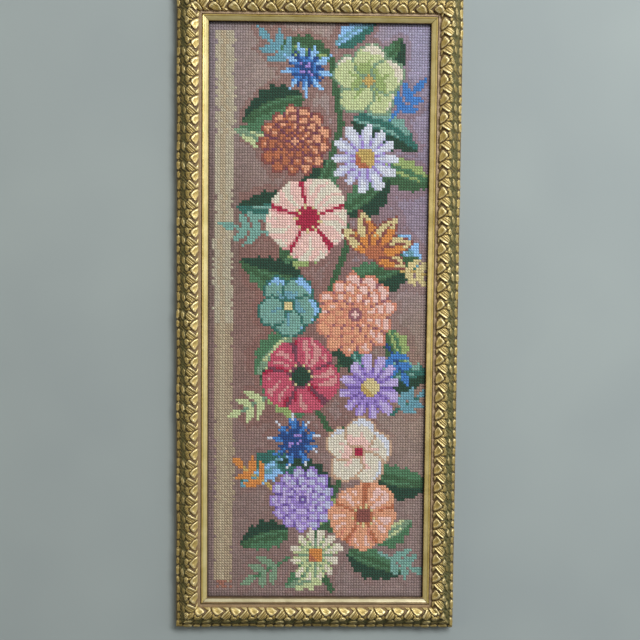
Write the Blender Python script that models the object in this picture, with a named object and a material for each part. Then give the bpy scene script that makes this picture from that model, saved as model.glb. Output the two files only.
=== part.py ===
"""Tall narrow stitched canvas panel held in a mitred picture moulding.

Metres, +Z up. The panel lies on its back: the back of the moulding is z = 0,
the picture faces +Z, the picture's top is +Y and its width runs along X.
"""

import bpy
import bmesh

MM = 0.001

SIGHT_W = 207.0      # opening across, between the lips
SIGHT_H = 545.0      # opening along
FACE_W = 30.0        # moulding, outer wall to sight edge
GAP = 0.3            # air between two pieces
OUT_W = SIGHT_W + 2.0 * FACE_W
OUT_H = SIGHT_H + 2.0 * FACE_W

REBATE_U = 24.0      # rebate wall, from the outer wall
REBATE_Z = 8.0       # rebate ledge height

CANVAS_T = 2.0       # stitched canvas thickness
CANVAS_TOP = REBATE_Z - GAP
CANVAS_U = REBATE_U + GAP

# Moulding section: u is millimetres in from the outer wall, z is up.
SECTION = [
    (1.2, 0.0), (0.0, 1.2), (0.0, 7.6), (0.9, 9.2),
    (2.4, 11.6), (4.2, 14.4), (6.2, 17.0), (8.4, 19.0), (11.0, 20.0),
    (13.8, 19.3), (16.4, 17.8), (18.6, 15.9), (20.8, 13.2),
    (24.2, 13.0), (24.5, 14.4), (25.4, 14.2), (28.6, 11.4), (30.0, 11.0),
    (30.0, REBATE_Z), (REBATE_U, REBATE_Z), (REBATE_U, 0.0),
]

STICKS = {
    # name: (side it stands on, +1 or -1, axis the stick runs along)
    "frame_left": (-1, "y"),
    "frame_right": (1, "y"),
    "frame_top": (1, "x"),
    "frame_bottom": (-1, "x"),
}


def clear_scene():
    for obj in list(bpy.data.objects):
        bpy.data.objects.remove(obj, do_unlink=True)


def material(name, colour, roughness, metallic):
    mat = bpy.data.materials.new(name)
    mat.use_nodes = True
    shader = mat.node_tree.nodes["Principled BSDF"]
    shader.inputs["Base Color"].default_value = (*colour, 1.0)
    shader.inputs["Roughness"].default_value = roughness
    shader.inputs["Metallic"].default_value = metallic
    return mat


def finish_mesh(name, bm, mat):
    bmesh.ops.recalc_face_normals(bm, faces=bm.faces[:])
    mesh = bpy.data.meshes.new(name)
    bm.to_mesh(mesh)
    bm.free()
    obj = bpy.data.objects.new(name, mesh)
    bpy.context.scene.collection.objects.link(obj)
    mesh.materials.append(mat)
    return obj


def end_point(side, axis, u, z, end):
    """A section point at one mitred end, half the air gap short of the 45 degree cut."""
    trim = 0.5 * GAP * 2.0 ** 0.5
    if axis == "y":
        x = side * (OUT_W / 2.0 - u)
        y = end * (OUT_H / 2.0 - u - trim)
    else:
        y = side * (OUT_H / 2.0 - u)
        x = end * (OUT_W / 2.0 - u - trim)
    return (x * MM, y * MM, z * MM)


def build_stick(name, side, axis, mat):
    bm = bmesh.new()
    low = [bm.verts.new(end_point(side, axis, u, z, -1)) for u, z in SECTION]
    high = [bm.verts.new(end_point(side, axis, u, z, 1)) for u, z in SECTION]
    count = len(SECTION)
    for i in range(count):
        j = (i + 1) % count
        bm.faces.new((low[i], low[j], high[j], high[i]))
    bm.faces.new(low)
    bm.faces.new(list(reversed(high)))
    return finish_mesh(name, bm, mat)


def build_canvas(name, mat):
    half_w = (OUT_W / 2.0 - CANVAS_U) * MM
    half_h = (OUT_H / 2.0 - CANVAS_U) * MM
    bottom = (CANVAS_TOP - CANVAS_T) * MM
    top = CANVAS_TOP * MM
    bm = bmesh.new()
    ring = [(-half_w, -half_h), (half_w, -half_h), (half_w, half_h), (-half_w, half_h)]
    low = [bm.verts.new((x, y, bottom)) for x, y in ring]
    high = [bm.verts.new((x, y, top)) for x, y in ring]
    bm.faces.new(list(reversed(low)))
    bm.faces.new(high)
    for i in range(4):
        j = (i + 1) % 4
        bm.faces.new((low[i], low[j], high[j], high[i]))
    return finish_mesh(name, bm, mat)


def main():
    clear_scene()
    gilt = {
        name: material("gilt_" + name, (0.46, 0.36, 0.16), 0.5, 0.35) for name in STICKS
    }
    wool = material("wool_ground", (0.26, 0.21, 0.2), 0.95, 0.0)
    for name, (side, axis) in STICKS.items():
        build_stick(name, side, axis, gilt[name])
    build_canvas("canvas_panel", wool)


main()
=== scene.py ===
"""Looks of the framed needlepoint panel: carved gilt moulding and stitched wool canvas."""

import math

import bpy
import numpy as np
from mathutils import Matrix


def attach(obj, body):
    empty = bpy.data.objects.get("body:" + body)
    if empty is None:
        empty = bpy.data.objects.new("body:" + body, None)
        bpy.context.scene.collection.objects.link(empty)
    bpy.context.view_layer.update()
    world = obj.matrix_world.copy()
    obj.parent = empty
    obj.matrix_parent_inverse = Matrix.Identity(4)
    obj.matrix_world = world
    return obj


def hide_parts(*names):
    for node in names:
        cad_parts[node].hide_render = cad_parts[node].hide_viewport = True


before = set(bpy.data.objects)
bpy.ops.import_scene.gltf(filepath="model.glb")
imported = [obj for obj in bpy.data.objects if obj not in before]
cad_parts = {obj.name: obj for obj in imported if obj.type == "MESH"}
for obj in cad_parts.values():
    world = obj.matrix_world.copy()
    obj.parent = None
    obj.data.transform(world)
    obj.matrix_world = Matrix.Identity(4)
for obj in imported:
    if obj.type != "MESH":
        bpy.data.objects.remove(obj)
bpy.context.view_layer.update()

MM = 0.001
RNG = np.random.RandomState(20)

# ---- sizes, millimetres ------------------------------------------------------
SIGHT_W, SIGHT_H = 207.0, 545.0
FACE_W = 30.0
OUT_W, OUT_H = SIGHT_W + 2 * FACE_W, SIGHT_H + 2 * FACE_W
TRIM = 0.2122            # each mitre stands this far back along the stick
BRAID_STEP = 17.5        # one repeat of the carving

CANVAS_W, CANVAS_H = 218.4, 556.4
CANVAS_LOW, CANVAS_HIGH = 5.7, 6.95
COLS, ROWS = 83, 213     # stitches, two of each out of sight under the lip
PITCH_X, PITCH_Y = 207.0 / 81.4, 545.0 / 211.0


def lin(r, g, b, k=1.0):
    """An sRGB colour of 0 to 255 as linear light."""
    c = np.array([r, g, b], float) / 255.0
    c = np.where(c <= 0.04045, c / 12.92, ((c + 0.055) / 1.055) ** 2.4) * k
    return tuple(float(x) for x in c)


# ---- node helpers ------------------------------------------------------------
class Nodes:
    """A short way to write a material's node tree."""

    def __init__(self, name):
        self.mat = bpy.data.materials.new(name)
        self.mat.use_nodes = True
        self.tree = self.mat.node_tree
        self.shader = self.tree.nodes["Principled BSDF"]

    def add(self, kind, **values):
        node = self.tree.nodes.new(kind)
        for key, value in values.items():
            if hasattr(node, key) and key not in node.inputs:
                setattr(node, key, value)
            else:
                node.inputs[key].default_value = value
        return node

    def link(self, a, b):
        self.tree.links.new(a, b)

    def attribute(self, name):
        return self.add("ShaderNodeAttribute", attribute_name=name)

    def coords(self):
        return self.add("ShaderNodeTexCoord").outputs["Object"]

    def noise(self, scale, detail=3.0, rough=0.5, vector=None):
        node = self.add("ShaderNodeTexNoise")
        node.inputs["Scale"].default_value = scale
        node.inputs["Detail"].default_value = detail
        node.inputs["Roughness"].default_value = rough
        self.link(vector if vector is not None else self.coords(), node.inputs["Vector"])
        return node.outputs["Fac"]

    def ramp(self, fac, stops):
        node = self.add("ShaderNodeValToRGB")
        ramp = node.color_ramp
        while len(ramp.elements) < len(stops):
            ramp.elements.new(0.5)
        for element, (at, colour) in zip(ramp.elements, stops):
            element.position = at
            element.color = (*colour, 1.0) if len(colour) == 3 else colour
        self.link(fac, node.inputs["Fac"])
        return node.outputs["Color"]

    def span(self, fac, a, b, c, d):
        """fac from a..b mapped to c..d, clamped."""
        node = self.add("ShaderNodeMapRange")
        self.link(fac, node.inputs["Value"])
        for key, value in (("From Min", a), ("From Max", b), ("To Min", c), ("To Max", d)):
            node.inputs[key].default_value = value
        return node.outputs["Result"]

    def math(self, op, a, b=None):
        node = self.add("ShaderNodeMath", operation=op)
        for i, value in enumerate((a, b)):
            if value is None:
                continue
            if isinstance(value, (int, float)):
                node.inputs[i].default_value = value
            else:
                self.link(value, node.inputs[i])
        return node.outputs[0]

    def mix(self, fac, a, b, blend="MIX"):
        node = self.add("ShaderNodeMix", data_type="RGBA", blend_type=blend)
        for socket, value in ((0, fac), (6, a), (7, b)):
            if isinstance(value, (int, float)):
                node.inputs[socket].default_value = value
            elif isinstance(value, tuple):
                node.inputs[socket].default_value = (*value, 1.0)
            else:
                self.link(value, node.inputs[socket])
        return node.outputs[2]

    def bump(self, height, distance, strength=1.0, before=None):
        node = self.add("ShaderNodeBump")
        node.inputs["Distance"].default_value = distance
        node.inputs["Strength"].default_value = strength
        self.link(height, node.inputs["Height"])
        if before is not None:
            self.link(before, node.inputs["Normal"])
        return node.outputs["Normal"]

    def done(self, colour=None, rough=None, metallic=None, normal=None, **constants):
        for key, value in (("Base Color", colour), ("Roughness", rough), ("Metallic", metallic), ("Normal", normal)):
            if value is None:
                continue
            if isinstance(value, (int, float)):
                self.shader.inputs[key].default_value = value
            else:
                self.link(value, self.shader.inputs[key])
        for key, value in constants.items():
            self.shader.inputs[key.replace("_", " ")].default_value = value
        return self.mat


# ---- mesh helpers ------------------------------------------------------------
def mesh_object(name, verts_mm, faces, materials, smooth=True, sharp=None):
    mesh = bpy.data.meshes.new(name)
    mesh.from_pydata((np.asarray(verts_mm, float) * MM).tolist(), [], faces)
    mesh.update()
    for mat in materials:
        mesh.materials.append(mat)
    mesh.polygons.foreach_set("use_smooth", np.full(len(mesh.polygons), smooth))
    if sharp is not None:
        mesh.set_sharp_from_angle(angle=math.radians(sharp))
    obj = bpy.data.objects.new(name, mesh)
    bpy.context.scene.collection.objects.link(obj)
    return obj


def point_values(obj, name, values):
    attribute = obj.data.attributes.new(name, "FLOAT", "POINT")
    attribute.data.foreach_set("value", np.asarray(values, np.float32).ravel())


def point_colours(obj, name, colours):
    attribute = obj.data.attributes.new(name, "FLOAT_COLOR", "POINT")
    rgba = np.ones((len(colours), 4), np.float32)
    rgba[:, :3] = colours
    attribute.data.foreach_set("color", rgba.ravel())


# ---- moulding ----------------------------------------------------------------
# Body section, u inward from the outer wall and z up. The carved strip covers
# the stretch from the outer wall to u 20.9, so the body runs low there.
BODY = [
    ("back", 1.2, 0.0), ("wall", 0.35, 0.35), ("wall", 0.0, 1.2), ("wall", 0.0, 7.2),
    ("under", 0.6, 7.4), ("under", 6.0, 12.0), ("under", 11.0, 15.4), ("under", 16.0, 14.8),
    ("recess", 20.4, 12.5), ("recess", 21.0, 12.85), ("crease", 23.45, 12.95), ("crease", 23.9, 12.55),
    ("bead", 24.2, 13.5), ("bead", 24.45, 14.0), ("bead", 24.85, 14.25), ("bead", 25.3, 14.15),
    ("bead", 25.7, 13.85), ("crease", 25.95, 13.55), ("bevel", 26.15, 13.65), ("bevel", 26.6, 13.45),
    ("bevel", 27.8, 12.6), ("brim", 28.7, 11.9), ("brim", 29.2, 11.45), ("lip", 29.45, 11.2),
    ("edge", 29.8, 11.0), ("edge", 30.0, 10.6), ("edge", 30.0, 8.0), ("back", 24.0, 8.0), ("back", 24.0, 0.0),
]
ZONES = ("back", "wall", "under", "recess", "bevel", "lip", "bead", "crease", "edge", "brim")

# Ground line under the carving.
GROUND = [
    (0.0, 7.0), (0.35, 8.2), (1.6, 9.2), (3.6, 10.7), (6.0, 12.9), (8.5, 15.0),
    (11.0, 16.6), (13.5, 17.0), (16.0, 16.3), (18.5, 14.8), (20.4, 13.2), (20.9, 12.6),
]

# Raised shapes of one repeat: corners in (u, s), edge roundness and height.
CARVING = {
    "band": ([(12.4, 0.0), (13.8, 0.6), (19.2, 6.0), (17.9, 7.4), (15.0, 9.2), (12.6, 8.4), (10.1, 5.2), (10.2, 3.2)], 0.9, 2.5),
    "hook": ([(20.9, 0.6), (20.9, 4.7), (18.9, 7.1), (17.6, 5.4), (19.0, 2.6)], 0.9, 2.7),
    "leaf": ([(19.3, 7.7), (20.6, 8.8), (20.6, 12.8), (17.9, 18.4), (16.7, 18.6), (13.7, 14.2), (13.9, 12.3), (16.8, 9.2)], 0.95, 2.9),
    "lobe": ([(8.9, 9.8), (10.9, 8.6), (12.9, 10.3), (12.5, 13.0), (10.9, 15.4), (9.3, 13.4)], 1.1, 2.1),
    "link": ([(12.3, 9.6), (14.2, 9.4), (15.2, 10.2), (13.6, 11.6), (12.6, 11.2)], 0.6, 1.5),
    "spur": ([(10.4, 16.2), (12.0, 14.3), (13.4, 14.6), (14.2, 16.6), (12.0, 17.3)], 0.7, 1.2),
    "sliver": ([(7.2, 0.6), (8.7, 2.6), (9.2, 5.8), (8.1, 9.2), (6.7, 6.8), (6.2, 3.4)], 0.9, 1.9),
    "bead_a": ([(5.4, 10.0), (6.6, 9.4), (8.0, 11.6), (7.6, 14.6), (6.0, 15.6), (5.0, 12.8)], 1.0, 0.8),
    "bead_b": ([(4.4, 1.4), (5.6, 0.4), (5.9, 3.2), (5.4, 6.0), (4.5, 5.0)], 0.6, 0.7),
    "foot_a": ([(1.0, 1.0), (2.6, -0.6), (3.9, 1.6), (3.9, 6.6), (2.7, 8.4), (1.0, 7.4)], 1.0, 1.5),
    "foot_b": ([(1.0, 10.6), (2.3, 9.4), (3.7, 11.6), (3.6, 14.4), (2.5, 16.2), (1.0, 15.2)], 1.0, 1.2),
}


def inside(u, s, corners):
    """Distance in from the nearest side of a convex outline, negative outside."""
    turn = sum(
        (corners[(i + 1) % len(corners)][0] - a) * (corners[(i + 1) % len(corners)][1] + b)
        for i, (a, b) in enumerate(corners)
    )
    sign = 1.0 if turn < 0 else -1.0
    best = np.full(u.shape, 1e9)
    for i, (a, b) in enumerate(corners):
        c, d = corners[(i + 1) % len(corners)]
        size = math.hypot(c - a, d - b)
        best = np.minimum(best, sign * ((u - a) * -(d - b) + (s - b) * (c - a)) / size)
    return best


def relief(u, s, phase):
    """Carving height over the ground line at (u, s), and which of it is leaf work."""
    unit = np.floor(s / BRAID_STEP)
    u = u + 0.22 * np.sin(s * 0.21 + phase) + 0.12 * np.sin(s * 0.83 + 2.0 * phase)
    s = s + 0.3 * np.sin(s * 0.11 + phase)
    local = np.mod(s, BRAID_STEP)
    # slanting strands show low down between the raised shapes
    slant = 0.5 + 0.5 * np.cos(2 * math.pi * (s - 0.95 * u) / (BRAID_STEP / 5))
    height = 0.75 * slant**2 * np.clip((u - 3.2) / 1.0, 0, 1) * np.clip((13.5 - u) / 2.5, 0, 1)
    for name, (corners, soft, tall) in CARVING.items():
        for shift in (-BRAID_STEP, 0.0, BRAID_STEP):
            own = np.sin((unit - shift / BRAID_STEP) * (2.3 + 0.9 * len(name)) + phase * len(name))
            loose = 0.95 if corners[0][0] < 9.0 else 0.22
            at = local + shift + loose * own
            depth = inside(u + 0.35 * loose * own, at, corners) + 0.28
            rise = np.clip(depth / soft, 0.0, 1.0)
            part = tall * (1.0 + 0.22 * loose * own) * np.sqrt(np.clip(1.0 - (1.0 - rise) ** 2, 0.0, 1.0))
            on = np.clip(depth / 0.5, 0.0, 1.0)
            if name == "band":
                # distance below the bright upper rim, and strands that run along it
                across = (-(u - 13.8) * 5.4 + (at - 0.6) * 5.4) / 7.64
                rim = np.exp(-(((across - 0.75) / 0.55) ** 2))
                cut = 0.5 - 0.5 * np.cos(2 * math.pi * (across - 1.5) / 1.6)
                part = part + on * (0.75 * rim - 0.60 * cut * np.clip(across - 1.3, 0, 1) - 0.10 * np.clip(across, 0, 6))
            elif name == "leaf":
                dent = np.exp(-(((u - 17.0 + 0.25 * (at - 13.0)) / 1.15) ** 2 + ((at - 13.0) / 2.6) ** 2))
                rib = np.exp(-(((u - 17.6 + 0.35 * (at - 12.0)) / 0.4) ** 2))
                part = part + on * (0.30 * rib - 0.60 * dent)
            elif name == "hook":
                part = part - 0.35 * on * np.exp(-(((u - 19.6 + 0.3 * (at - 4.0)) / 0.35) ** 2))
            elif name == "lobe":
                across = ((u - 9.0) + (at - 12.6)) / 1.414
                cut = 0.5 - 0.5 * np.cos(2 * math.pi * across / 1.4)
                part = part - 0.5 * on * cut
            elif name == "sliver":
                part = part - 0.3 * on * np.exp(-(((u - 7.8) / 0.35) ** 2))
            height = np.maximum(height, part)
    # low rounded filling inside the V of the raised shapes
    fill = 0.85 * np.clip((u - 13.6) / 1.2, 0, 1) * np.clip((20.6 - u) / 0.8, 0, 1)
    height = np.maximum(height, fill)
    wobble = 1.0 + 0.07 * np.sin(unit * 2.3 + phase) + 0.05 * np.sin(unit * 5.1 + 1.7)
    return np.clip(height, 0.0, None) * wobble


def stick_map(side, axis, u, run):
    """Picture-plane position of a point u inward and run along the carving's way."""
    if axis == "y":
        return side * (OUT_W / 2 - u), side * run
    return -side * run, side * (OUT_H / 2 - u)


def stick_half(axis, u):
    return (OUT_H if axis == "y" else OUT_W) / 2 - u - TRIM


STICKS = {
    "frame_left": (-1, "y", 0.4), "frame_right": (1, "y", 2.1),
    "frame_top": (1, "x", 3.9), "frame_bottom": (-1, "x", 5.2),
}


def smoothed(field, times):
    """The field with its fine shape averaged away, for telling ridges from grooves."""
    out = field.copy()
    for _ in range(times):
        out[1:-1] = (out[:-2] + 2 * out[1:-1] + out[2:]) / 4
        out[:, 1:-1] = (out[:, :-2] + 2 * out[:, 1:-1] + out[:, 2:]) / 4
    return out


def build_braid(name, side, axis, phase, mat):
    line = np.array(GROUND)
    gaps = np.hypot(*np.diff(line, axis=0).T)
    at = np.concatenate([[0.0], np.cumsum(gaps)])
    count = 62
    even = np.linspace(0.0, at[-1], count)
    u0 = np.interp(even, at, line[:, 0])
    z0 = np.interp(even, at, line[:, 1])
    for _ in range(3):
        u0[1:-1] = (u0[:-2] + 2 * u0[1:-1] + u0[2:]) / 4
        z0[1:-1] = (z0[:-2] + 2 * z0[1:-1] + z0[2:]) / 4
    du, dz = np.gradient(u0), np.gradient(z0)
    size = np.hypot(du, dz)
    nu, nz = -dz / size, du / size
    length = 2 * stick_half(axis, 0.0)
    rows = int(length / 0.46)
    part = np.linspace(-1.0, 1.0, rows)
    half = stick_half(axis, u0)
    run = part[:, None] * half[None, :]
    u = np.broadcast_to(u0, run.shape)
    high = relief(u, run + 300.0, phase)
    fade = np.clip((20.95 - u) / 0.5, 0, 1) * np.clip((u + 0.05) / 0.5, 0, 1)
    rise = high * fade
    # ridges against grooves, used to colour the gilt paler on ridges and darker in grooves, partly as painted highlight
    # and painted shade
    edge = rise - smoothed(rise, 7)
    uu = np.clip(u + nu * rise * 0.8, 0.0, 21.1)
    zz = z0 + nz * rise
    zz = np.where(zz > 19.3, 19.3 + 0.5 * (zz - 19.3), zz)
    run = part[:, None] * stick_half(axis, uu)
    # the first and last rows turn down into the body, so the mitre is closed
    drop = np.zeros(rows)
    uu = np.vstack([uu[:1], uu, uu[-1:]])
    run = np.vstack([run[:1], run, run[-1:]])
    zz = np.vstack([zz[:1] * 0 + 6.0, zz, zz[-1:] * 0 + 6.0])
    rise = np.vstack([rise[:1] * 0, rise, rise[-1:] * 0])
    edge = np.vstack([edge[:1] * 0, edge, edge[-1:] * 0])
    x, y = stick_map(side, axis, uu, run)
    verts = np.stack([x, y, zz], axis=-1).reshape(-1, 3)
    nr, nc = uu.shape
    index = np.arange(nr * nc).reshape(nr, nc)
    a, b, c, d = index[:-1, :-1], index[:-1, 1:], index[1:, 1:], index[1:, :-1]
    quads = np.stack([a, b, c, d], axis=-1).reshape(-1, 4)
    obj = mesh_object("braid_" + name[6:], verts, quads.tolist(), [mat])
    flip_up(obj)
    valley = np.exp(-(((uu - 6.4) / 3.0) ** 2)) + 0.35 * np.exp(-(((uu - 9.8) / 2.4) ** 2))
    point_values(obj, "rise", rise / 3.0)
    point_values(obj, "edge", np.clip(0.5 + edge * 0.8, 0.0, 1.0))
    # the right stick carries more of the olive green in its valleys
    right_stick_greener = 1.7 if name == "frame_right" else 1.0
    point_values(obj, "valley", np.clip(valley * right_stick_greener, 0, 1))
    point_values(obj, "inward", uu / 30.0)
    return obj


def flip_up(obj):
    """Turns the faces of an open relief so that most look up."""
    mesh = obj.data
    normals = np.zeros(len(mesh.polygons) * 3, np.float32)
    mesh.polygons.foreach_get("normal", normals)
    if normals.reshape(-1, 3)[:, 2].mean() < 0:
        mesh.flip_normals()


def build_body(name, side, axis, mats):
    """The plain part of a stick: back, walls, recess, bevel and lip, with cut ends."""
    cuts = 40 if axis == "y" else 18
    part = np.linspace(-1.0, 1.0, cuts)
    u0 = np.array([u for _, u, _ in BODY])
    z0 = np.array([z for _, _, z in BODY])
    run = part[:, None] * stick_half(axis, u0)[None, :]
    uu = np.broadcast_to(u0, run.shape)
    zz = np.broadcast_to(z0, run.shape)
    x, y = stick_map(side, axis, uu, run)
    verts = np.stack([x, y, zz], axis=-1).reshape(-1, 3)
    count = len(BODY)
    faces, zones = [], []
    for r in range(cuts - 1):
        for i in range(count):
            j = (i + 1) % count
            faces.append([r * count + i, r * count + j, (r + 1) * count + j, (r + 1) * count + i])
            zones.append(ZONES.index(BODY[i][0]))
    faces.append(list(range(count)))
    faces.append([(cuts - 1) * count + i for i in reversed(range(count))])
    zones += [0, 0]
    obj = mesh_object("moulding_" + name[6:], verts, faces, mats)
    import bmesh

    bm = bmesh.new()
    bm.from_mesh(obj.data)
    bmesh.ops.recalc_face_normals(bm, faces=bm.faces[:])
    bm.to_mesh(obj.data)
    bm.free()
    obj.data.polygons.foreach_set("material_index", np.array(zones, np.int32))
    obj.data.set_sharp_from_angle(angle=math.radians(32))
    return obj


# ---- materials of the moulding -----------------------------------------------
def braid_material():
    n = Nodes("gilt_carving")
    rise = n.attribute("rise").outputs["Fac"]
    valley = n.attribute("valley").outputs["Fac"]
    fine = n.noise(900.0, 4.0, 0.6)
    broad = n.noise(120.0, 3.0, 0.55)
    edge = n.attribute("edge").outputs["Fac"]
    # the gilt is coloured darker low in the carving and in its grooves and paler on its ridges: partly real wear and
    # dirt, partly painted shade and painted highlight
    wear_and_shade = n.math("ADD", n.math("MULTIPLY", rise, 0.42), n.span(edge, 0.15, 0.85, -0.22, 0.55))
    wear_and_shade = n.math("ADD", wear_and_shade, n.span(fine, 0.3, 0.7, -0.09, 0.09))
    wear_and_shade = n.math("ADD", wear_and_shade, n.span(broad, 0.35, 0.65, -0.07, 0.07))
    gold = n.ramp(wear_and_shade, [
        (0.02, lin(62, 48, 26)), (0.18, lin(104, 84, 42)), (0.38, lin(150, 127, 66)),
        (0.62, lin(176, 154, 92)), (0.90, lin(214, 196, 144)),
    ])
    inward = n.attribute("inward").outputs["Fac"]
    inner = n.math("MULTIPLY", n.span(inward, 0.46, 0.52, 0.0, 1.0), n.span(rise, 0.20, 0.36, 1.0, 0.0))
    gold = n.mix(inner, gold, n.mix(n.span(fine, 0.3, 0.7, 0.0, 1.0), lin(110, 86, 58), lin(148, 122, 86)))
    green = n.mix(n.span(fine, 0.35, 0.65, 0.0, 1.0), lin(52, 54, 24), lin(96, 92, 50))
    cover = n.math("MULTIPLY", valley, n.span(broad, 0.35, 0.55, 0.55, 1.0))
    cover = n.math("MULTIPLY", cover, n.span(rise, 0.14, 0.70, 1.0, 0.42))
    colour = n.mix(cover, gold, green)
    rough = n.span(wear_and_shade, 0.1, 0.8, 0.62, 0.38)
    metal = n.span(wear_and_shade, 0.1, 0.7, 0.15, 0.55)
    normal = n.bump(n.noise(1400.0, 3.0, 0.6), 0.00025, 0.6)
    return n.done(colour, rough, metal, normal)


def bevel_material(name, top, low, metal):
    n = Nodes(name)
    stretch = n.add("ShaderNodeMapping")
    n.link(n.coords(), stretch.inputs["Vector"])
    soft = n.noise(60.0, 4.0, 0.6)
    speck = n.noise(1500.0, 3.0, 0.7)
    colour = n.mix(n.span(soft, 0.35, 0.65, 0.0, 1.0), low, top)
    chips = n.span(speck, 0.66, 0.74, 0.0, 0.6)
    colour = n.mix(chips, colour, lin(96, 66, 30))
    rough = n.span(soft, 0.3, 0.7, 0.46, 0.36)
    normal = n.bump(n.noise(350.0, 3.0, 0.5), 0.0002, 0.5)
    return n.done(colour, rough, metal, normal)


def recess_material():
    n = Nodes("taupe_recess")
    grain = n.noise(700.0, 4.0, 0.6)
    wide = n.noise(90.0, 3.0, 0.5)
    colour = n.mix(n.span(grain, 0.3, 0.7, 0.0, 1.0), lin(136, 112, 84), lin(170, 146, 114))
    colour = n.mix(n.span(wide, 0.45, 0.65, 0.0, 0.35), colour, lin(122, 98, 64))
    return n.done(colour, 0.6, 0.1, n.bump(grain, 0.0003, 0.5))


def wall_material():
    n = Nodes("gilt_wall")
    wide = n.noise(70.0, 4.0, 0.6)
    grain = n.noise(900.0, 3.0, 0.6)
    colour = n.mix(n.span(wide, 0.35, 0.65, 0.0, 1.0), lin(120, 94, 48), lin(172, 144, 84))
    colour = n.mix(n.span(grain, 0.5, 0.7, 0.0, 0.7), colour, lin(70, 54, 34))
    return n.done(colour, 0.5, 0.35, n.bump(grain, 0.0003, 0.6))


def wood_material():
    n = Nodes("bare_wood")
    place = n.add("ShaderNodeMapping")
    place.inputs["Scale"].default_value = (1.0, 0.08, 1.0)
    n.link(n.coords(), place.inputs["Vector"])
    grain = n.noise(420.0, 5.0, 0.6, place.outputs["Vector"])
    wide = n.noise(24.0, 3.0, 0.5)
    colour = n.mix(n.span(grain, 0.35, 0.65, 0.0, 1.0), lin(158, 122, 82), lin(196, 164, 122))
    colour = n.mix(n.span(wide, 0.4, 0.7, 0.0, 0.5), colour, lin(138, 104, 70))
    return n.done(colour, 0.75, 0.0, n.bump(grain, 0.0004, 0.5))


# ---- the stitched design -----------------------------------------------------
WOOL = {
    "cream": (216, 208, 190), "white": (208, 212, 222), "lilac_white": (184, 186, 214), "pale_green": (190, 200, 150),
    "lime": (150, 170, 108), "sage": (124, 152, 124), "mid_green": (78, 122, 88), "leaf": (62, 98, 66),
    "dark_green": (34, 68, 52), "teal": (52, 108, 98), "sea": (120, 164, 152), "turquoise": (106, 156, 170),
    "sky": (142, 188, 230), "blue": (66, 124, 190), "navy": (36, 72, 130), "violet": (112, 88, 160),
    "purple": (156, 132, 200), "lavender": (186, 170, 214), "crimson": (164, 36, 66), "rose": (192, 84, 106),
    "pink": (208, 146, 144), "blush": (228, 190, 180), "rust": (136, 80, 72), "copper": (178, 108, 76),
    "orange": (208, 136, 70), "peach": (218, 158, 124), "salmon": (206, 136, 112), "tan": (192, 160, 134), "ochre": (190, 162, 96),
    "straw": (208, 192, 140), "plum": (116, 66, 82), "mauve": (150, 96, 104),
}
# Ground tones by place, as (across, down, colour), both 0 to 1. The dark tone at the left edge, part way down, is
# partly dark wool and partly painted shade of the left lip.
GROUND_TONES = [
    (0.00, 0.00, (134, 122, 130)), (0.25, 0.08, (156, 138, 128)), (0.45, 0.00, (166, 146, 136)), (1.00, 0.03, (154, 150, 176)), (0.95, 0.28, (144, 130, 150)),
    (0.00, 0.35, (114, 94, 84)), (0.30, 0.45, (142, 104, 94)), (1.00, 0.58, (154, 132, 114)), (0.00, 0.98, (134, 112, 106)), (0.80, 0.98, (140, 120, 116)),
]
BAND_FROM, BAND_TO = 2, 9

col, row = np.meshgrid(np.arange(COLS) - 1.0, np.arange(ROWS) - 1.0)
chart = np.zeros((ROWS, COLS, 3))
thickness = np.ones((ROWS, COLS))    # share of a full strand of wool
grit = RNG.normal(0.0, 1.0, (ROWS, COLS))
motif = np.zeros((ROWS, COLS), bool)


def wool(name):
    return np.array(lin(*WOOL[name]))


def paint(mask, name):
    chart[mask] = wool(name)
    thickness[mask] = 0.97
    motif[mask] = True


def shade(mask, tones, value):
    """Fills mask with the tones in turn as value goes from 0 to 1."""
    step = np.clip((value + 0.018 * grit) * len(tones), 0, len(tones) - 1).astype(int)
    for k, name in enumerate(tones):
        paint(mask & (step == k), name)


def paint_ground():
    across, down = col / 80.0, row / 210.0
    total = np.zeros(col.shape)
    mixed = np.zeros(chart.shape)
    for a, d, tone in GROUND_TONES:
        near = 1.0 / (0.02 + (across - a) ** 2 + 1.6 * (down - d) ** 2) ** 1.3
        total += near
        mixed += near[..., None] * np.array(lin(*tone))
    chart[:] = mixed / total[..., None]
    # dye lots change from one length of wool to the next, in short level runs
    run = RNG.normal(0.0, 1.0, (ROWS // 2 + 2, COLS // 7 + 3))
    level = (row.astype(int) + 1) // 2
    lot = run[level, (col.astype(int) + 1 + (level * 5) % 7) // 7]
    chart[:] *= (1.0 + 0.045 * lot)[..., None]
    thickness[:] = 1.05
    # a few upright streaks where one wool runs beside another
    chart[:] *= (1.0 + 0.035 * RNG.normal(0.0, 1.0, COLS))[None, :, None] ** np.array([1.0, 1.15, 1.3])


def paint_band():
    """A plain upright stripe near the left side in thinner wool, its edges a little ragged."""
    edge = RNG.randint(0, 100, ROWS)
    side = np.floor(0.45 * np.sin(np.arange(ROWS) * 0.045 + 0.6) + RNG.uniform(0.25, 0.75, ROWS)).astype(int)
    for r in range(4, ROWS - 6):
        left = BAND_FROM + side[r] + (1 if edge[r] % 19 == 0 else 0)
        right = BAND_TO + side[r] - (1 if edge[r] % 13 == 0 else 0)
        across = slice(left + 1, right + 1)
        chart[r, across] = np.array(lin(184, 174, 150)) if r < 110 else np.array(lin(172, 154, 128))
        thickness[r, across] = 0.80
        chart[r, left + 3 : left + 5] = np.array(lin(182, 166, 138))
    ends = (row > ROWS - 9) & (row < ROWS - 5) & (col > 2) & (col < 9) & (grit > -0.4)
    chart[ends] = np.array(lin(158, 108, 90))


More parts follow.
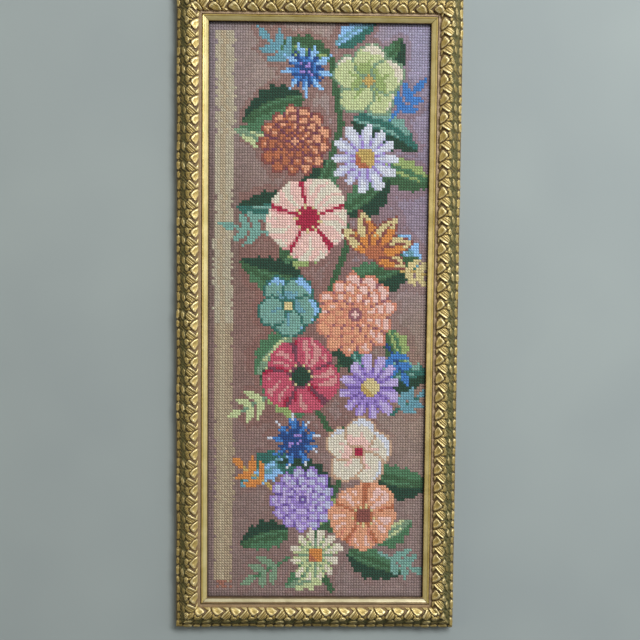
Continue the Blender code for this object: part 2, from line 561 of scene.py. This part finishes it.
def turned(cx, cy, turn):
    """Grid coordinates about a centre, turned by degrees clockwise on the picture."""
    t = math.radians(turn)
    dx, dy = col - cx, row - cy
    return dx * math.cos(t) + dy * math.sin(t), -dx * math.sin(t) + dy * math.cos(t)


def polar(cx, cy, turn=0.0):
    dx, dy = turned(cx, cy, turn)
    return np.hypot(dx, dy), np.arctan2(dy, dx)


def ruffle(a, seed, amount=0.06):
    """A lively factor near 1 round a bloom, its own for each seed."""
    out = np.ones(a.shape)
    for k in (2, 3, 5, 8):
        out += amount * math.sin(seed * 7.1 + k) * np.sin(k * a + seed * 3.7 + k * k) / k**0.4
    return out


def lit(cx, cy, radius):
    """0 on the lower left of a bloom to 1 on its upper right."""
    return np.clip(0.5 + ((col - cx) - (row - cy)) / (2.6 * radius), 0, 1)


def leaf(cx, cy, length, width, turn, tones, bend=0.0):
    """A leaf from (cx, cy): a light and a dark half either side of the rib."""
    light, middle, dark = tones
    a, b = turned(cx, cy, turn)
    along = a / length
    b = b - bend * np.sin(math.pi * np.clip(along, 0, 1))
    half = width * np.sin(math.pi * np.clip(along, 0, 1) ** 0.8) ** 0.8
    half = half * (1 + 0.12 * np.sin(a * 1.5))
    shape = (along > 0) & (along < 1) & (np.abs(b) < half)
    paint(shape, middle)
    paint(shape & (b > 0.2 * half), dark)
    paint(shape & (b < -0.45 * half) & (along > 0.15) & (along < 0.8), light)
    paint(shape & (np.abs(b) < 0.5) & (along < 0.7), light)


def stem(points, name, thick=0.8):
    for (x0, y0), (x1, y1) in zip(points[:-1], points[1:]):
        size = math.hypot(x1 - x0, y1 - y0)
        t = np.clip(((col - x0) * (x1 - x0) + (row - y0) * (y1 - y0)) / size**2, 0, 1)
        paint(np.hypot(col - x0 - t * (x1 - x0), row - y0 - t * (y1 - y0)) < thick, name)


def daisy(cx, cy, radius, seed, tones, petals=12):
    """Long separate petals round a raised heart."""
    deep, middle, light, heart, heart_dark = tones
    r, a = polar(cx, cy, seed * 23)
    phase = petals * a / 2 + 0.35 * np.sin(2 * a + seed)
    wave = np.abs(np.cos(phase))
    size = radius * ruffle(a, seed, 0.07)
    shape = r < size * (0.50 + 0.50 * wave**0.5)
    shade(shape, (deep, middle, light), 0.15 + 0.9 * wave * (0.35 + 0.65 * r / radius) * (0.7 + 0.5 * lit(cx, cy, radius)))
    paint(shape & (wave < 0.24), deep)
    shade(r < radius * 0.30, (heart_dark, heart, heart), lit(cx, cy, radius * 0.3))


def dahlia(cx, cy, radius, seed, tones, petals=13, rings=4):
    """Rings of short pointed petals, each ring edged in a darker wool."""
    dark, deep, middle, light = tones
    r, a = polar(cx, cy, seed * 31)
    size = radius * ruffle(a, seed, 0.05)
    for ring in range(rings):
        reach = size * (1.0 - ring / (rings + 0.4))
        wave = np.abs(np.cos((petals - ring) * a / 2 + ring * 1.2 + seed))
        edge = reach * (0.84 + 0.16 * wave)
        shape = r < edge
        paint(shape, deep)
        shade(shape & (r < edge - 1.1), (deep, middle, light), 0.1 + 0.5 * wave + 0.45 * lit(cx, cy, radius) - 0.08 * ring)
        paint(shape & (wave < 0.22) & (r > edge * 0.7), dark)
    paint(r < radius * 0.15, dark)
    paint(r < radius * 0.08, light)


def poppy(cx, cy, radius, seed, tones, petals=5):
    """Broad overlapping petals with folds running in to a dark eye."""
    dark, deep, middle, light, rim, heart = tones
    r, a = polar(cx, cy, seed * 17)
    turn = a * petals / 2 + 0.25 * np.sin(a * 3 + seed)
    wave = np.abs(np.cos(turn))
    size = radius * ruffle(a, seed, 0.08) * (0.86 + 0.14 * wave**0.6)
    shape = r < size
    fold = 0.5 + 0.5 * np.sin(a * petals * 3 + 2.2 * np.sin(r / radius * 5 + seed))
    shade(shape, (deep, middle, light), 0.05 + 0.42 * fold * r / radius + 0.40 * wave + 0.22 * lit(cx, cy, radius))
    paint(shape & (wave < 0.17) & (r > radius * 0.3), dark)
    paint(shape & (r > size - 1.5) & (wave > 0.3) & (fold > 0.25), rim)
    paint(r < radius * 0.30, dark)
    paint(r < radius * 0.22, heart)
    paint((r < radius * 0.34) & (np.sin(a * 9) > 0.55) & (r > radius * 0.22), "straw")


def blossom(cx, cy, radius, seed, tones):
    """Five round petals, lighter at the rim, round a small eye."""
    dark, deep, middle, light, heart = tones
    for k in range(5):
        t = math.radians(seed * 29 + 72 * k)
        px, py = cx + 0.55 * radius * math.cos(t), cy + 0.55 * radius * math.sin(t)
        d = np.hypot(col - px, row - py) * ruffle(np.arctan2(row - py, col - px), seed + k, 0.06)
        from_eye = np.hypot(col - cx, row - cy) / radius
        size = radius * 0.50
        paint(d < size, dark)
        shade(d < size - 0.9, (deep, middle, light), 0.05 + 0.62 * from_eye + 0.35 * (lit(px, py, size) - 0.35))
        a, b = turned(cx, cy, math.degrees(t))
        paint((d < size - 1) & (np.abs(b) < 0.5) & (a > 0) & (a < radius * 0.62), deep)
    r, a = polar(cx, cy)
    paint(r < radius * 0.22, dark)
    paint(r < radius * 0.16, heart)


def cornflower(cx, cy, radius, seed, tones):
    """A burst of flared, toothed florets."""
    dark, deep, middle, light = tones
    r, a = polar(cx, cy, seed * 13)
    wave = np.cos(9 * a)
    tooth = np.cos(27 * a + seed)
    size = radius * ruffle(a, seed, 0.05)
    shape = r < size * (0.58 + 0.30 * np.clip(wave, 0, 1) ** 0.6 + 0.14 * tooth)
    shade(shape, (dark, deep, middle, light), 0.1 + 0.75 * r / radius * (0.6 + 0.4 * np.clip(wave, 0, 1)) + 0.2 * lit(cx, cy, radius))
    paint(shape & (wave < -0.25) & (r > radius * 0.3), dark)
    paint(r < radius * 0.28, dark)
    paint((r < radius * 0.28) & (grit > 0.35), "purple")


def lily(cx, cy, radius, seed, tones, turn=-60):
    """A trumpet seen from the side: five curling petals fanned from a throat."""
    dark, deep, middle, light, heart = tones
    for k, off in enumerate((-76, 76, -40, 40, 0)):
        a, b = turned(cx, cy, turn + off)
        length = radius * (1.35 if abs(off) < 60 else 1.15)
        along = a / length
        b = b - math.copysign(1.0, off) * 1.8 * np.clip(along, 0, 1) ** 2
        half = radius * 0.34 * np.sin(math.pi * np.clip(along, 0, 1) ** 0.75) ** 0.7
        shape = (along > 0) & (along < 1) & (np.abs(b) < half)
        paint(shape, dark)
        shade(shape & (np.abs(b) < half - 0.7), (deep, middle, light), 0.1 + 0.8 * along + 0.25 * (b < 0))
        paint(shape & (np.abs(b) < 0.5) & (along < 0.8), heart)
    paint(np.hypot(col - cx, row - cy) < radius * 0.22, deep)


def twig(cx, cy, length, turn, tones, pairs=2):
    """A slim stalk with small leaves in pairs and one at the tip, in one or two wools."""
    stalk, blade = tones
    t = math.radians(turn)
    stem([(cx, cy), (cx + length * math.cos(t), cy + length * math.sin(t))], stalk, 0.62)
    for k in range(pairs + 1):
        at = length * (0.38 + 0.62 * k / pairs)
        px, py = cx + at * math.cos(t), cy + at * math.sin(t)
        for off in ((-48, 52) if k < pairs else (4,)):
            a, b = turned(px, py, turn + off)
            reach = length * (0.56 - 0.06 * k)
            along = a / reach
            half = 1.45 * np.sin(math.pi * np.clip(along, 0, 1) ** 0.7) ** 0.8
            paint((along > 0) & (along < 1) & (np.abs(b) < half), blade)


def halo():
    """Darker, redder ground close round the motifs, as where the shading was carried on."""
    taken = motif.copy()
    near = taken.astype(float)
    for k in range(5):
        grown = near.copy()
        grown[1:] = np.maximum(grown[1:], near[:-1] - 0.2)
        grown[:-1] = np.maximum(grown[:-1], near[1:] - 0.2)
        grown[:, 1:] = np.maximum(grown[:, 1:], near[:, :-1] - 0.2)
        grown[:, :-1] = np.maximum(grown[:, :-1], near[:, 1:] - 0.2)
        near = grown
    broad = 0.5 + 0.5 * np.sin(col * 0.21 + 1.3 * np.sin(row * 0.09)) * np.cos(row * 0.13 + 0.7)
    want = (near > 0.15 + 0.55 * broad + 0.05 * grit) & ~taken & (col > BAND_TO + 1)
    weight = np.clip(1.0 - 0.55 * (row > 150) - 0.4 * (col > 62), 0.2, 1.0)
    tone = np.array(lin(134, 96, 88))
    chart[want] = (chart * (1 - 0.62 * weight[..., None]) + tone * 0.62 * weight[..., None])[want]


GREENS = {
    "cool": ("sea", "teal", "dark_green"), "deep": ("mid_green", "leaf", "dark_green"),
    "fresh": ("lime", "mid_green", "leaf"), "pale": ("pale_green", "sage", "mid_green"), "blue": ("sky", "turquoise", "teal"),
}
TRAIL = [(46, 208), (38, 194), (44, 178), (52, 160), (40, 140), (50, 120), (44, 98), (52, 76), (42, 56), (48, 36), (44, 12)]
# Leaves: across, down, length, width, turn, greens, bend
LEAVES = [
    (44, 12, 17, 4.4, -168, "fresh", 1), (46, 8, 14, 3.4, -30, "blue", -1), (60, 22, 17, 4.6, -60, "deep", 1),
    (34, 26, 20, 5.2, 158, "deep", 2), (52, 34, 22, 5.6, 24, "cool", -2), (26, 44, 15, 4.0, 200, "pale", 1),
    (44, 48, 18, 5.4, 100, "deep", 2), (64, 50, 17, 4.6, 20, "fresh", 1), (30, 64, 17, 4.6, 175, "cool", -1),
    (50, 68, 18, 5.4, -40, "deep", 1), (44, 76, 20, 5.6, 145, "fresh", 2), (66, 76, 15, 4.4, 50, "blue", -1),
    (50, 94, 24, 6.0, -20, "deep", 2), (34, 92, 20, 5.4, 196, "deep", -2), (48, 108, 20, 5.4, 60, "cool", 1),
    (30, 112, 17, 4.6, 130, "pale", 1), (66, 110, 14, 4.0, 72, "fresh", -1), (42, 126, 20, 5.6, 172, "deep", 2),
    (58, 132, 22, 5.6, -12, "cool", -1), (36, 142, 18, 5.2, 215, "fresh", 1), (46, 148, 20, 5.6, 38, "deep", -2),
    (30, 158, 18, 4.6, 150, "blue", 1), (60, 164, 20, 5.4, 10, "deep", 2), (46, 172, 20, 5.4, -150, "cool", 1),
    (40, 184, 18, 5.0, -20, "fresh", -1), (30, 186, 16, 4.6, 165, "deep", 1), (52, 194, 19, 4.8, 20, "deep", 1),
    (44, 198, 15, 4.2, 150, "pale", -1), (62, 190, 14, 4.0, -30, "pale", 1),
]
TWIGS = [
    # across, down, length, turn, (stalk, blade)
    (32, 16, 15, -136, ("turquoise", "turquoise")), (66, 34, 14, -50, ("blue", "blue")),
    (24, 76, 15, 190, ("sea", "sea")), (68, 88, 13, 8, ("ochre", "straw")),
    (24, 134, 14, 150, ("sage", "pale_green")), (68, 142, 12, -34, ("teal", "turquoise")),
    (24, 170, 14, 215, ("ochre", "orange")), (64, 194, 14, 24, ("sea", "sea")),
    (30, 196, 15, 150, ("mid_green", "sage")), (66, 116, 12, 60, ("navy", "blue")),
]
BLOOMS = [
    # painter, across, down, radius, seed, tones
    (cornflower, 35, 16, 10.5, 1, ("navy", "blue", "sky", "sky")),
    (blossom, 58, 20, 13.0, 2, ("sage", "lime", "pale_green", "cream", "ochre")),
    (dahlia, 31, 42, 13.5, 3, ("plum", "rust", "copper", "peach")),
    (daisy, 57, 48, 12.5, 4, ("purple", "lilac_white", "white", "ochre", "copper")),
    (poppy, 36, 70, 15.5, 5, ("crimson", "pink", "blush", "cream", "cream", "crimson")),
    (lily, 60, 82, 12.0, 6, ("rust", "copper", "orange", "straw", "rust")),
    (dahlia, 54, 105, 15.5, 7, ("mauve", "salmon", "peach", "blush")),
    (blossom, 29, 102, 11.5, 8, ("teal", "turquoise", "sea", "sky", "straw")),
    (poppy, 34, 128, 14.5, 9, ("plum", "crimson", "rose", "pink", "rose", "dark_green")),
    (daisy, 60, 132, 12.0, 10, ("violet", "purple", "lavender", "straw", "ochre")),
    (cornflower, 32, 152, 10.5, 11, ("navy", "navy", "blue", "white")),
    (blossom, 56, 156, 12.5, 12, ("tan", "blush", "cream", "white", "crimson")),
    (dahlia, 35, 174, 12.5, 13, ("violet", "purple", "lavender", "lilac_white")),
    (poppy, 58, 180, 13.0, 14, ("copper", "salmon", "peach", "blush", "peach", "rust")),
    (daisy, 40, 195, 10.0, 15, ("sage", "pale_green", "cream", "orange", "copper")),
]


def draw_chart():
    paint_ground()
    paint_band()
    stem(TRAIL, "leaf", 1.2)
    for cx, cy, length, width, turn, greens, bend in LEAVES:
        leaf(cx, cy, 1.22 * length, 1.18 * width, turn, GREENS[greens], bend)
    for spec in TWIGS:
        twig(*spec)
    for painter, *spec in BLOOMS:
        painter(*spec)
    halo()


def paint_lip_shadow():
    """Painted shadow of the lip: the wool along the sight edge is darkened, most of all under the upper lip."""
    x = (np.arange(COLS) - (COLS - 1) / 2) * PITCH_X
    y = ((ROWS - 1) / 2 - np.arange(ROWS)) * PITCH_Y
    side_gap = np.clip(SIGHT_W / 2 - np.abs(x), 0, None)
    top_gap = np.clip(SIGHT_H / 2 - y, 0, None)
    low_gap = np.clip(SIGHT_H / 2 + y, 0, None)
    side = 1 - 0.62 * np.exp(-((side_gap / 1.5) ** 2))
    ends = (1 - 0.78 * np.exp(-((top_gap / 2.8) ** 2))) * (1 - 0.5 * np.exp(-((low_gap / 1.4) ** 2)))
    chart[:] *= (ends[:, None] * side[None, :])[..., None]


# ---- stitches ----------------------------------------------------------------
# One stitch: rings along it, each (place, half width, height over the canvas).
GRAIN = [(-0.68, 0.78, 0.50), (0.0, 1.0, 0.74), (0.68, 0.78, 0.50)]
HALF_LONG, HALF_WIDE = 1.40, 1.10


def stitch_shape():
    """Points (along, across, up) of one stitch and its faces."""
    points = [(-1.0, 0.0, 0.02)]
    for place, wide, tall in GRAIN:
        points += [(place, -wide, 0.0), (place, -0.55 * wide, tall * 0.86), (place, 0.55 * wide, tall * 0.86), (place, wide, 0.0)]
    points.append((1.0, 0.0, 0.02))
    faces = [[0, 2, 1], [0, 3, 2], [0, 4, 3]]
    for ring in range(2):
        a = 1 + 4 * ring
        faces += [[a + k, a + k + 1, a + k + 5, a + k + 4] for k in range(3)]
    last = len(points) - 1
    faces += [[last, 9, 10], [last, 10, 11], [last, 11, 12]]
    return np.array(points), faces


def build_stitches(mat):
    points, faces = stitch_shape()
    per = len(points)
    x0 = (np.arange(COLS) - (COLS - 1) / 2) * PITCH_X
    y0 = ((ROWS - 1) / 2 - np.arange(ROWS)) * PITCH_Y
    row_drift = 0.16 * np.sin(np.arange(ROWS) * 0.07 + 0.5) + RNG.normal(0, 0.05, ROWS)
    col_drift = 0.14 * np.sin(np.arange(COLS) * 0.11) + RNG.normal(0, 0.05, COLS)
    pieces = []
    thirds = np.array_split(np.arange(ROWS), 3)
    for number, rows in enumerate(thirds):
        rr, cc = np.meshgrid(rows, np.arange(COLS), indexing="ij")
        rr, cc = rr.ravel(), cc.ravel()
        count = len(rr)
        cx = x0[cc] + row_drift[rr] + RNG.normal(0, 0.06, count)
        cy = y0[rr] + col_drift[cc] + RNG.normal(0, 0.06, count)
        angle = math.atan2(-PITCH_Y, PITCH_X) + RNG.normal(0, 0.06, count)
        long = HALF_LONG * (1 + RNG.normal(0, 0.03, count))
        wide = HALF_WIDE * thickness[rr, cc] * (1 + RNG.normal(0, 0.05, count))
        long = long * (1.0 + 0.25 * (1.0 - thickness[rr, cc]))
        tall = 1 + RNG.normal(0, 0.10, count)
        tall = np.clip(tall, 0.7, 1.3)
        a = points[None, :, 0] * long[:, None]
        b = points[None, :, 1] * wide[:, None]
        c, s = np.cos(angle)[:, None], np.sin(angle)[:, None]
        x = cx[:, None] + a * c - b * s
        y = cy[:, None] + a * s + b * c
        z = CANVAS_HIGH - 0.02 + points[None, :, 2] * tall[:, None]
        x = np.clip(x, -109.0, 109.0)
        y = np.clip(y, -278.0, 278.0)
        z = np.minimum(z, 7.75)
        verts = np.stack([x, y, z], axis=-1).reshape(-1, 3)
        base = (np.arange(count) * per)[:, None]
        all_faces = []
        for face in faces:
            all_faces.append((base + np.array(face)[None, :]).tolist())
        flat = [f for group in all_faces for f in group]
        obj = mesh_object(f"stitches_{number + 1}", verts, flat, [mat])
        flip_up(obj)
        tint = chart[rr, cc] * (1 + RNG.normal(0, 0.06, (count, 1))) * (1 + RNG.normal(0, 0.015, (count, 3)))
        point_colours(obj, "wool", np.repeat(np.clip(tint, 0.004, 1.0), per, axis=0))
        pieces.append(obj)
    return pieces


def build_canvas(mats):
    """The woven ground that the stitches sit on, one square to a stitch, both faces."""
    xs = (np.arange(COLS + 1) - COLS / 2) * PITCH_X
    ys = (ROWS / 2 - np.arange(ROWS + 1)) * PITCH_Y
    xs = np.concatenate([[-CANVAS_W / 2], xs, [CANVAS_W / 2]])
    ys = np.concatenate([[CANVAS_H / 2], ys, [-CANVAS_H / 2]])
    gx, gy = np.meshgrid(xs, ys)
    nr, nc = gx.shape
    top = np.stack([gx, gy, np.full(gx.shape, CANVAS_HIGH)], axis=-1).reshape(-1, 3)
    low = top.copy()
    low[:, 2] = CANVAS_LOW
    index = np.arange(nr * nc).reshape(nr, nc)
    a, b, c, d = index[:-1, :-1], index[1:, :-1], index[1:, 1:], index[:-1, 1:]
    up = np.stack([a, b, c, d], axis=-1).reshape(-1, 4)
    down = up[:, ::-1] + nr * nc
    faces = up.tolist() + down.tolist()
    rim = list(index[0, :]) + list(index[1:, -1]) + list(index[-1, -2::-1]) + list(index[-2:0:-1, 0])
    for i, p in enumerate(rim):
        q = rim[(i + 1) % len(rim)]
        faces.append([int(p), int(q), int(q) + nr * nc, int(p) + nr * nc])
    obj = mesh_object("canvas_ground", np.vstack([top, low]), faces, mats, smooth=False)
    cells = np.zeros((nr - 1, nc - 1, 3))
    cells[:] = lin(150, 128, 96)
    cells[1:-1, 1:-1] = chart
    flat = cells.reshape(-1, 3)
    per_face = np.vstack([flat, flat, np.tile(np.array(lin(150, 128, 96)), (len(rim), 1))])
    rgba = np.ones((len(per_face) * 4, 4), np.float32)
    rgba[:, :3] = np.repeat(per_face, 4, axis=0)
    attribute = obj.data.attributes.new("wool", "FLOAT_COLOR", "CORNER")
    attribute.data.foreach_set("color", rgba.ravel())
    zone = np.concatenate([np.zeros(len(flat)), np.ones(len(flat)), np.ones(len(rim))]).astype(np.int32)
    obj.data.polygons.foreach_set("material_index", zone)
    return obj


def wool_material():
    n = Nodes("wool_stitches")
    tint = n.attribute("wool").outputs["Color"]
    turn = n.add("ShaderNodeMapping")
    turn.inputs["Rotation"].default_value = (0.0, 0.0, math.radians(45))
    turn.inputs["Scale"].default_value = (0.35, 1.6, 1.0)
    n.link(n.coords(), turn.inputs["Vector"])
    strand = n.noise(2400.0, 2.0, 0.6, turn.outputs["Vector"])
    fuzz = n.noise(5200.0, 2.0, 0.6)
    shade = n.span(strand, 0.3, 0.7, 0.80, 1.16)
    colour = n.mix(1.0, tint, n.ramp(n.span(strand, 0.3, 0.7, 0.0, 1.0), [(0.0, (0.78, 0.78, 0.78)), (1.0, (1.0, 1.0, 1.0))]), "MULTIPLY")
    normal = n.bump(strand, 0.00035, 0.7)
    normal = n.bump(fuzz, 0.0001, 0.4, normal)
    return n.done(colour, n.span(shade, 0.8, 1.16, 0.95, 0.8), 0.0, normal, Sheen_Weight=0.25, Sheen_Roughness=0.5, Specular_IOR_Level=0.25)


def gap_material():
    """Canvas seen between the stitches: thread tinted by the wool and darkened towards dark brown, painted shade
    between the stitches.
    """
    n = Nodes("canvas_between_stitches_painted_shade")
    tint = n.attribute("wool").outputs["Color"]
    speck = n.noise(1600.0, 2.0, 0.6)
    dark = n.mix(n.span(speck, 0.3, 0.7, 0.46, 0.62), tint, lin(46, 36, 33))
    return n.done(dark, 0.95, 0.0, n.bump(speck, 0.0003, 0.6), Specular_IOR_Level=0.15)


def reverse_material():
    """Back of the canvas: upright wool bars a stitch apart over the woven ground."""
    n = Nodes("canvas_reverse")
    tint = n.attribute("wool").outputs["Color"]
    place = n.add("ShaderNodeSeparateXYZ")
    n.link(n.coords(), place.inputs["Vector"])
    across = n.math("MULTIPLY", place.outputs["X"], 2 * math.pi / (PITCH_X * MM))
    down = n.math("MULTIPLY", place.outputs["Y"], 2 * math.pi / (PITCH_Y * MM))
    bars = n.math("ADD", n.math("MULTIPLY", n.math("COSINE", n.math("ADD", across, 1.6)), 0.5), 0.5)
    steps = n.math("ADD", n.math("MULTIPLY", n.math("COSINE", down), 0.5), 0.5)
    weave = n.math("ADD", n.math("MULTIPLY", bars, 0.7), n.math("MULTIPLY", steps, 0.3))
    loose = n.noise(900.0, 3.0, 0.6)
    height = n.math("ADD", weave, n.math("MULTIPLY", loose, 0.5))
    # the low parts between the bars are darkened towards dark brown: painted shade
    colour = n.mix(n.span(height, 0.35, 1.1, 0.75, 0.0), tint, lin(62, 48, 40))
    colour = n.mix(n.span(loose, 0.55, 0.8, 0.0, 0.5), colour, lin(176, 156, 128))
    return n.done(colour, 0.95, 0.0, n.bump(height, 0.0006, 0.9), Sheen_Weight=0.2, Sheen_Roughness=0.5)


# ---- build -------------------------------------------------------------------
def build_all():
    carving = braid_material()
    bevel = bevel_material("gilt_bevel", lin(204, 189, 134), lin(184, 168, 108), 0.4)
    lip = bevel_material("gilt_lip", lin(150, 124, 66), lin(118, 94, 46), 0.5)
    bead = bevel_material("gilt_bead", lin(216, 196, 124), lin(188, 164, 90), 0.6)
    # the creases of the profile and the upright inner edge of the lip are coloured dark: painted shade where they fall
    # in shadow
    crease = bevel_material("crease_painted_shade", lin(92, 68, 42), lin(60, 44, 28), 0.1)
    edge = bevel_material("inner_edge_painted_shade", lin(84, 64, 36), lin(54, 40, 26), 0.1)
    mats = [wood_material(), wall_material(), wall_material(), recess_material(), bevel, lip, bead, crease, edge, bevel]
    # the lower stick has its own copies of the gilt, a paler, duller slope and a darker lip, brim and bead: painted
    # shade, for how the light falls on that stick
    bottom_shaded = list(mats)
    bottom_shaded[ZONES.index("bevel")] = bevel_material("gilt_bevel_painted_dim", lin(176, 166, 132), lin(154, 143, 106), 0.3)
    bottom_shaded[ZONES.index("lip")] = bottom_shaded[ZONES.index("brim")] = bevel_material("gilt_lip_painted_shade", lin(96, 76, 42), lin(70, 54, 30), 0.3)
    bottom_shaded[ZONES.index("bead")] = bevel_material("gilt_bead_painted_shade", lin(128, 106, 66), lin(98, 78, 48), 0.3)
    for name, (side, axis, phase) in STICKS.items():
        body = build_body(name, side, axis, bottom_shaded if name == "frame_bottom" else mats)
        strip = build_braid(name, side, axis, phase, carving)
        for piece in (body, strip):
            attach(piece, "root")
        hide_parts(name)

    draw_chart()
    paint_lip_shadow()
    wool_mat = wool_material()
    stitches = build_stitches(wool_mat)
    ground = build_canvas([gap_material(), reverse_material()])
    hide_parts("canvas_panel")
    for piece in [ground, *stitches]:
        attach(piece, "root")


# ---- stage -------------------------------------------------------------------
def build_floor():
    n = Nodes("plain_floor")
    soft = n.noise(6.0, 2.0, 0.5)
    colour = n.mix(n.span(soft, 0.35, 0.65, 0.0, 1.0), lin(136, 144, 143), lin(141, 149, 147))
    mat = n.done(colour, 0.9, 0.0, n.bump(n.noise(500.0, 2.0, 0.5), 0.0002, 0.2))
    size = 3000.0
    floor = mesh_object("floor", [(-size, -size, -0.05), (size, -size, -0.05), (size, size, -0.05), (-size, size, -0.05)], [[0, 1, 2, 3]], [mat], smooth=False)


def area_light(name, place, size, power, colour):
    data = bpy.data.lights.new(name, "AREA")
    data.shape = "RECTANGLE"
    data.size, data.size_y = size
    data.energy = power
    data.color = colour
    lamp = bpy.data.objects.new(name, data)
    bpy.context.scene.collection.objects.link(lamp)
    lamp.location = place
    from mathutils import Vector

    lamp.rotation_euler = (-Vector(place)).to_track_quat("-Z", "Y").to_euler()
    return lamp


def build_light():
    area_light("key", (0.85, 0.98, 1.60), (1.4, 0.5), 51.0, (0.98, 0.99, 1.0))
    area_light("window_right", (1.75, 0.25, 0.72), (0.9, 1.5), 6.5, (1.0, 0.98, 0.93))
    area_light("window_top", (0.15, 2.1, 0.85), (1.6, 0.9), 1.2, (1.0, 0.98, 0.95))
    area_light("side", (-1.8, -0.1, 0.85), (0.7, 1.4), 8.5, (1.0, 0.87, 0.55))
    world = bpy.data.worlds.new("studio") if bpy.context.scene.world is None else bpy.context.scene.world
    bpy.context.scene.world = world
    world.use_nodes = True
    tree = world.node_tree
    back = tree.nodes["Background"]
    way = tree.nodes.new("ShaderNodeTexCoord")
    dot = tree.nodes.new("ShaderNodeVectorMath")
    dot.operation = "DOT_PRODUCT"
    dot.inputs[1].default_value = (0.45, 0.70, 0.55)
    ramp = tree.nodes.new("ShaderNodeValToRGB")
    ramp.color_ramp.elements[0].position = 0.0
    ramp.color_ramp.elements[0].color = (0.16, 0.17, 0.19, 1.0)
    ramp.color_ramp.elements[1].position = 0.9
    ramp.color_ramp.elements[1].color = (0.80, 0.87, 0.96, 1.0)
    tree.links.new(way.outputs["Generated"], dot.inputs[0])
    tree.links.new(dot.outputs["Value"], ramp.inputs["Fac"])
    tree.links.new(ramp.outputs["Color"], back.inputs["Color"])
    back.inputs["Strength"].default_value = 0.52
    bpy.context.scene.view_settings.view_transform = "Standard"


def build_camera():
    data = bpy.data.cameras.new("camera")
    data.sensor_width = 36.0
    data.lens = 67.5
    data.clip_start = 0.05
    camera = bpy.data.objects.new("camera", data)
    bpy.context.scene.collection.objects.link(camera)
    right = (0.999643, 0.009570, 0.024929)
    up = (-0.007730, 0.997310, -0.072894)
    back = (-0.025559, 0.072675, 0.997028)
    place = (-0.026806, 0.077541, 1.143079)
    camera.matrix_world = Matrix((
        (right[0], up[0], back[0], place[0]),
        (right[1], up[1], back[1], place[1]),
        (right[2], up[2], back[2], place[2]),
        (0, 0, 0, 1),
    ))
    bpy.context.scene.camera = camera


build_all()
build_floor()
build_light()
build_camera()
